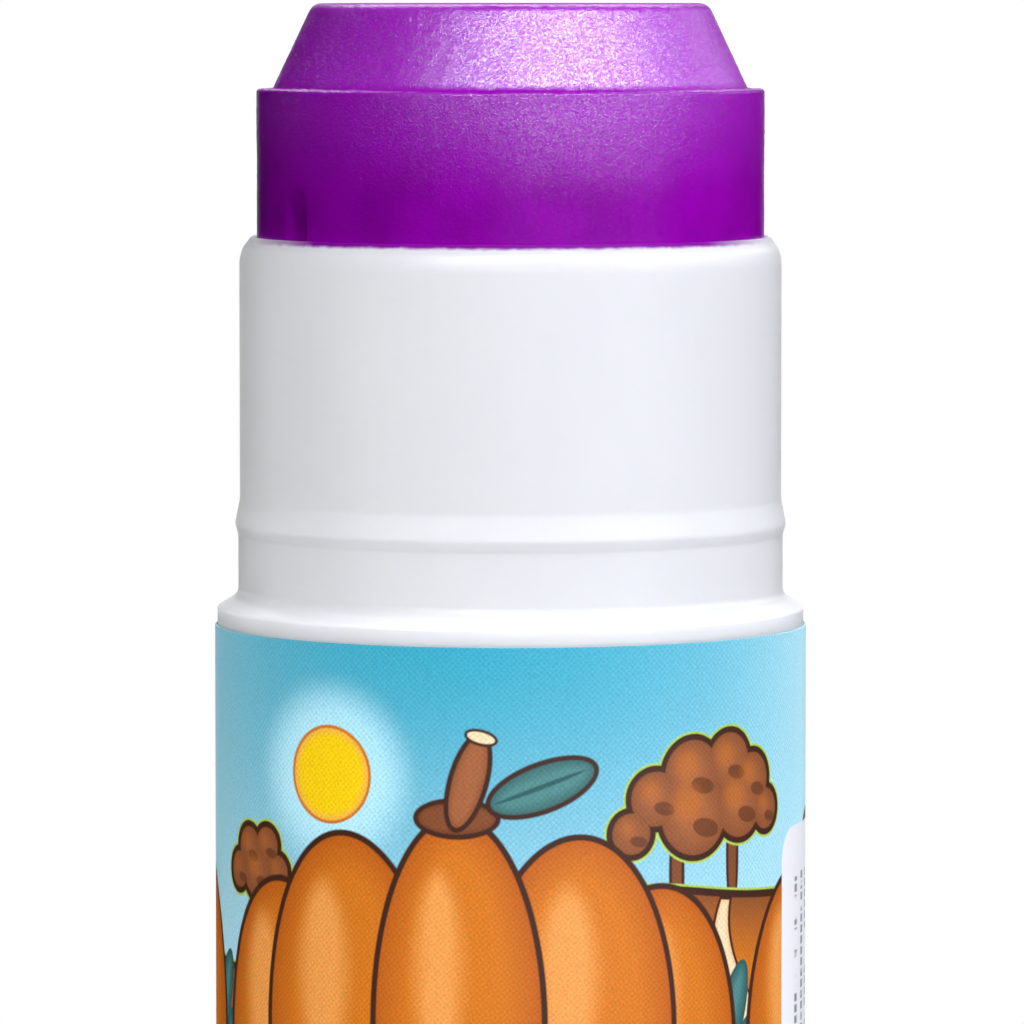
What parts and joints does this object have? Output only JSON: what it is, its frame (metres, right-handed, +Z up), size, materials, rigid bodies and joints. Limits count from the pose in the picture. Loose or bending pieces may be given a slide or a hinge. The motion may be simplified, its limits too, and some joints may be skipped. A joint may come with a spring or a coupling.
{
  "type": "glue stick",
  "caption": "Twist-up glue stick with its cap off: purple glue raised out of a white barrel with cap neck, printed label, ribbed turning base.",
  "frame": {"origin": "middle of the ring that the knob stands on, on the axis of the stick, at its lowest level", "axes": "+Z up along the axis of the stick, out of the open end; -Y is the front and the label's lap is at +Y; +X to the right seen from the front"},
  "size_m": [0.027, 0.0271, 0.1035],
  "materials": {
    "barrel_plastic": "moulded white polypropylene, satin gloss, slightly translucent",
    "label_film": "printed film, semi-gloss",
    "knob_plastic": "moulded white polypropylene, satin gloss",
    "screw_plastic": "moulded natural white polypropylene",
    "carrier_plastic": "moulded white polyethylene",
    "glue_mass": "solid purple glue, fine-grained, waxy sheen"
  },
  "bodies": {
    "barrel": {"barrel": "barrel_plastic", "label": "label_film"},
    "knob": {"knob": "knob_plastic", "screw_spindle": "screw_plastic"},
    "carrier": {"carrier": "carrier_plastic", "glue": "glue_mass"}
  },
  "joints": [
    {"name": "glue_lift", "type": "slide", "parent": "barrel", "child": "carrier", "axis": [0, 0, 1], "range_m": [-0.012, 0.034]},
    {"name": "knob_turn", "type": "hinge", "parent": "barrel", "child": "knob", "pos_m": [0, 0, 0.014], "axis": [0, 0, 1], "range_deg": [-1080, 3060]}
  ],
  "couplings": [
    {"joint": "knob_turn", "follows": "glue_lift", "rad_per_m": 1570.8}
  ]
}
